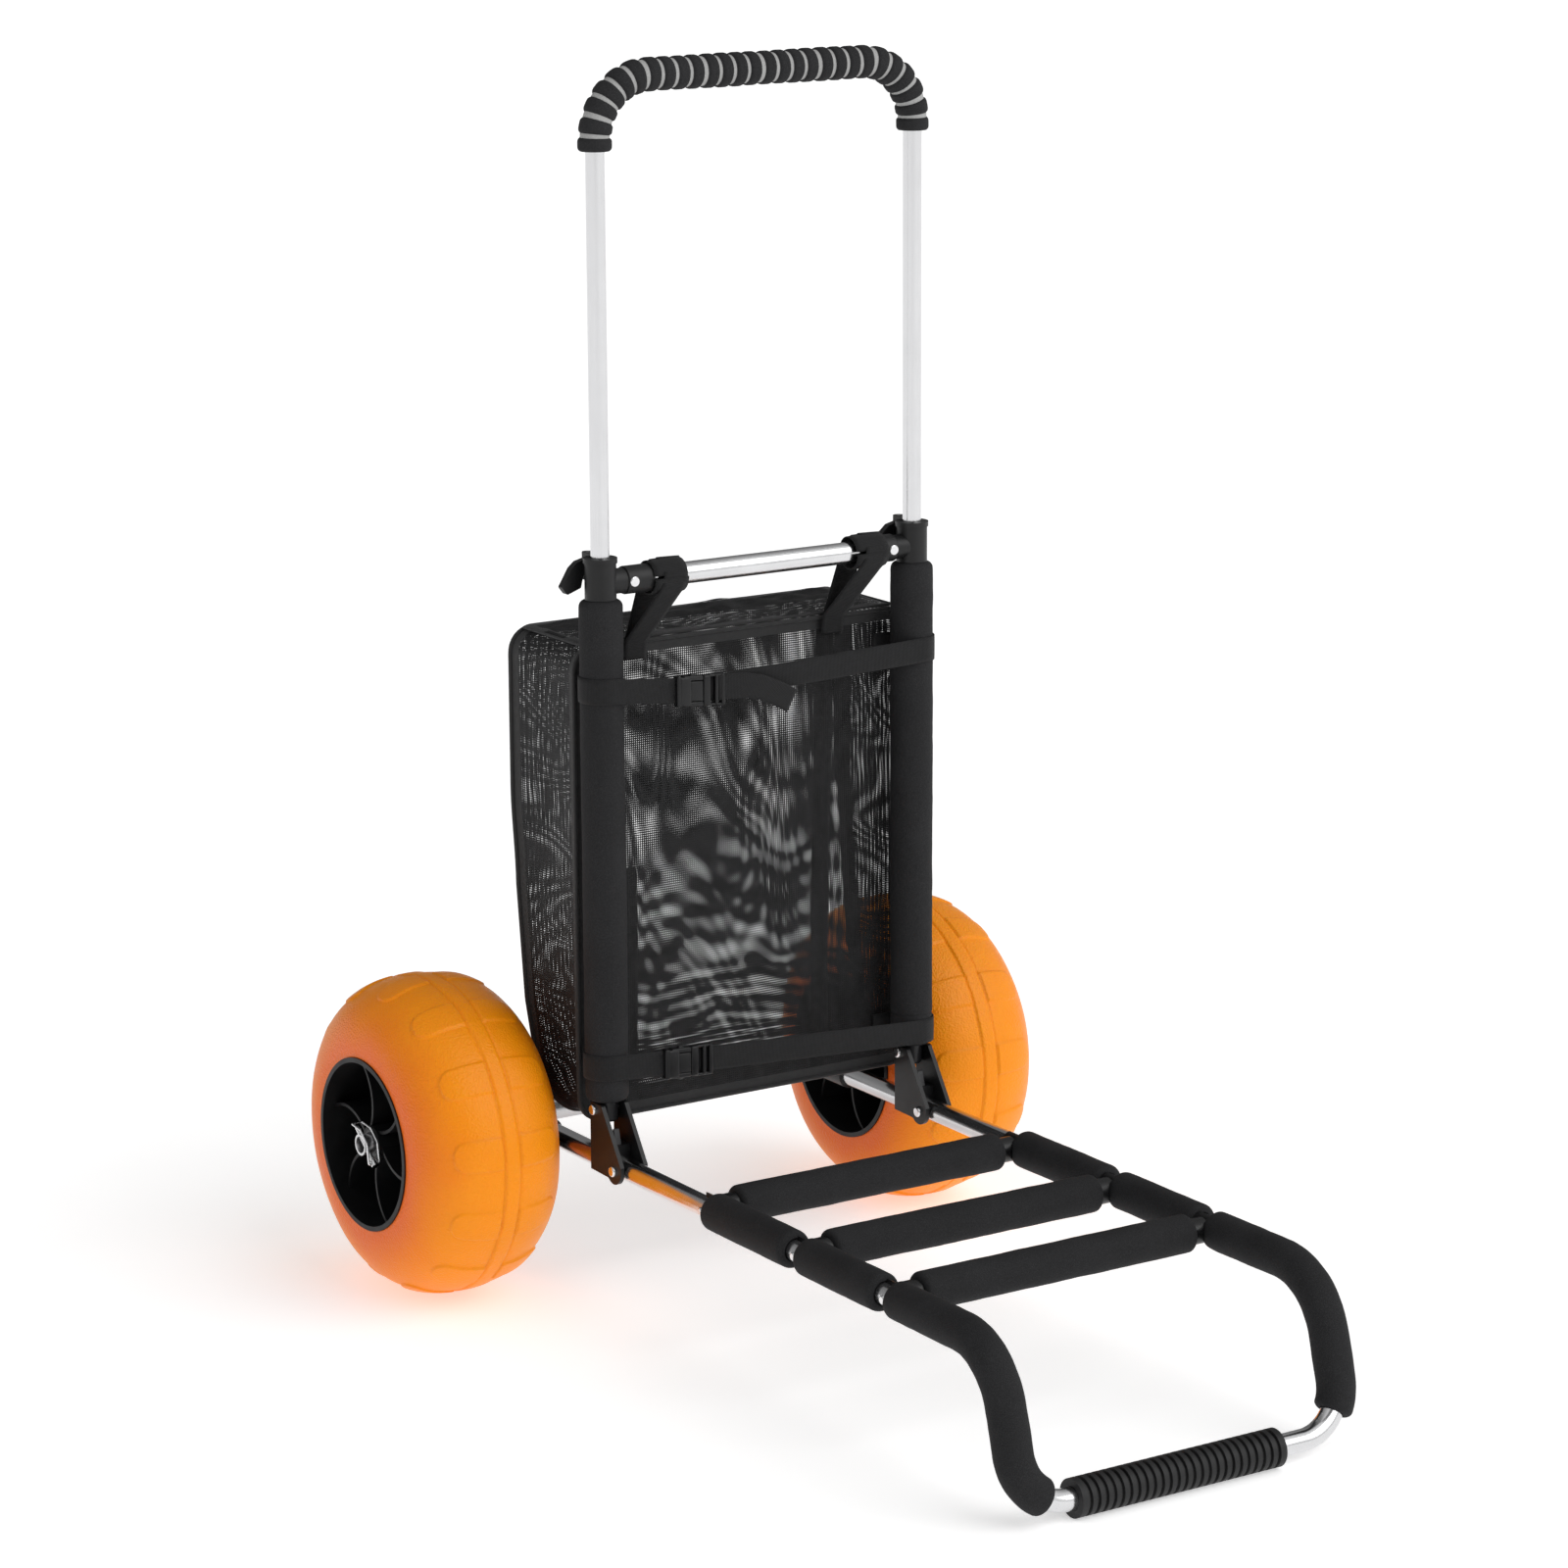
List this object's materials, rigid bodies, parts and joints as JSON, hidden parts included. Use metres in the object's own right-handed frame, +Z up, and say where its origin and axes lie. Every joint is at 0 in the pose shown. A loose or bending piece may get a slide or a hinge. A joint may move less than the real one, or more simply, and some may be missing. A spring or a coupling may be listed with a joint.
{
  "type": "beach cart",
  "caption": "Two-wheeled folding beach cart with balloon wheels, a foam-padded load deck, a front stand loop, a mesh bag and a telescopic handle.",
  "frame": {"origin": "on the ground under the middle of the cart", "axes": "+Z up, -Y towards the deck and the front bar, +X to the right hand of someone looking along +Y"},
  "size_m": [0.7532, 1.0634, 1.2545],
  "materials": {
    "bright_aluminium": "satin anodised",
    "frame_tube_black": "satin black",
    "steel": "zinc plated",
    "moulded_black": "moulded, fine grain",
    "clip_grey": "moulded",
    "bush_nylon": "smooth",
    "foam": "matte closed-cell foam",
    "grip_grey": "matte foam",
    "grip_rubber": "semi-matte",
    "tyre_orange": "semi-gloss, fine leather grain",
    "mesh": "open polyester mesh",
    "webbing": "woven webbing"
  },
  "bodies": {
    "base": {"axle_collars": "moulded_black", "axle_saddle_left": "moulded_black", "axle_saddle_right": "moulded_black", "axle_tube": "bright_aluminium", "bar_grip": "grip_rubber", "bracket_bolts": "steel", "bracket_nuts": "steel", "deck_foam_1": "foam", "deck_foam_2": "foam", "deck_foam_3": "foam", "deck_saddles_left": "moulded_black", "deck_saddles_right": "moulded_black", "deck_screws": "steel", "deck_tubes": "bright_aluminium", "fold_bracket_left": "moulded_black", "fold_bracket_right": "moulded_black", "fold_clips": "clip_grey", "front_loop": "bright_aluminium", "linchpin_left": "steel", "linchpin_right": "steel", "loop_foam_left": "foam", "loop_foam_right": "foam", "rail_foams_left": "foam", "rail_foams_right": "foam", "side_rail_left": "bright_aluminium", "side_rail_right": "bright_aluminium"},
    "mast": {"bag": "mesh", "buckle_plugs": "moulded_black", "buckle_sockets": "moulded_black", "cross_tube": "bright_aluminium", "hanger_left": "webbing", "hanger_right": "webbing", "lever_pins": "steel", "lower_strap": "webbing", "strap_tail": "webbing", "tee_left": "moulded_black", "tee_right": "moulded_black", "tee_rivets": "steel", "upper_strap": "webbing", "upright_foam_left": "foam", "upright_foam_right": "foam", "upright_plugs": "moulded_black", "upright_tube_left": "frame_tube_black", "upright_tube_right": "frame_tube_black"},
    "bag_lid": {"bag_lid": "mesh"},
    "lever_left": {"lever_left": "moulded_black"},
    "lever_right": {"lever_right": "moulded_black"},
    "handle": {"handle_tube": "bright_aluminium", "grip_sleeve": "grip_grey", "grip_rings": "foam", "leg_glides": "moulded_black"},
    "wheel_left": {"tyre_left": "tyre_orange", "rim_left": "moulded_black", "hub_bushes_left": "bush_nylon"},
    "wheel_right": {"tyre_right": "tyre_orange", "rim_right": "moulded_black", "hub_bushes_right": "bush_nylon"},
    "linchpin_ring_left": {"linchpin_ring_left": "steel"},
    "linchpin_ring_right": {"linchpin_ring_right": "steel"}
  },
  "joints": [
    {"name": "mast_fold", "type": "hinge", "parent": "base", "child": "mast", "pos_m": [0, 0.19875, 0.215], "axis": [1, 0, 0], "range_deg": [0, 90]},
    {"name": "handle_slide", "type": "slide", "parent": "mast", "child": "handle", "axis": [0, 0, 1], "range_m": [-0.388, 0]},
    {"name": "lever_left_turn", "type": "hinge", "parent": "mast", "child": "lever_left", "pos_m": [-0.184, 0.22225, 0.762], "axis": [0, 0, -1], "range_deg": [0, 95]},
    {"name": "lever_right_turn", "type": "hinge", "parent": "mast", "child": "lever_right", "pos_m": [0.184, 0.22225, 0.762], "axis": [0, 0, -1], "range_deg": [0, 95]},
    {"name": "bag_lid_open", "type": "hinge", "parent": "mast", "child": "bag_lid", "pos_m": [0, 0.35175, 0.6814], "axis": [-1, 0, 0], "range_deg": [0, 100]},
    {"name": "wheel_left_spin", "type": "hinge", "parent": "base", "child": "wheel_left", "pos_m": [-0.29, 0.36675, 0.165], "axis": [1, 0, 0], "continuous": true},
    {"name": "wheel_right_spin", "type": "hinge", "parent": "base", "child": "wheel_right", "pos_m": [0.29, 0.36675, 0.165], "axis": [1, 0, 0], "continuous": true},
    {"name": "linchpin_ring_left_turn", "type": "hinge", "parent": "base", "child": "linchpin_ring_left", "pos_m": [-0.3695, 0.3476, 0.14893], "axis": [1, 0, 0], "range_deg": [0, 100]},
    {"name": "linchpin_ring_right_turn", "type": "hinge", "parent": "base", "child": "linchpin_ring_right", "pos_m": [0.3695, 0.3476, 0.14893], "axis": [1, 0, 0], "range_deg": [0, 100]}
  ]
}
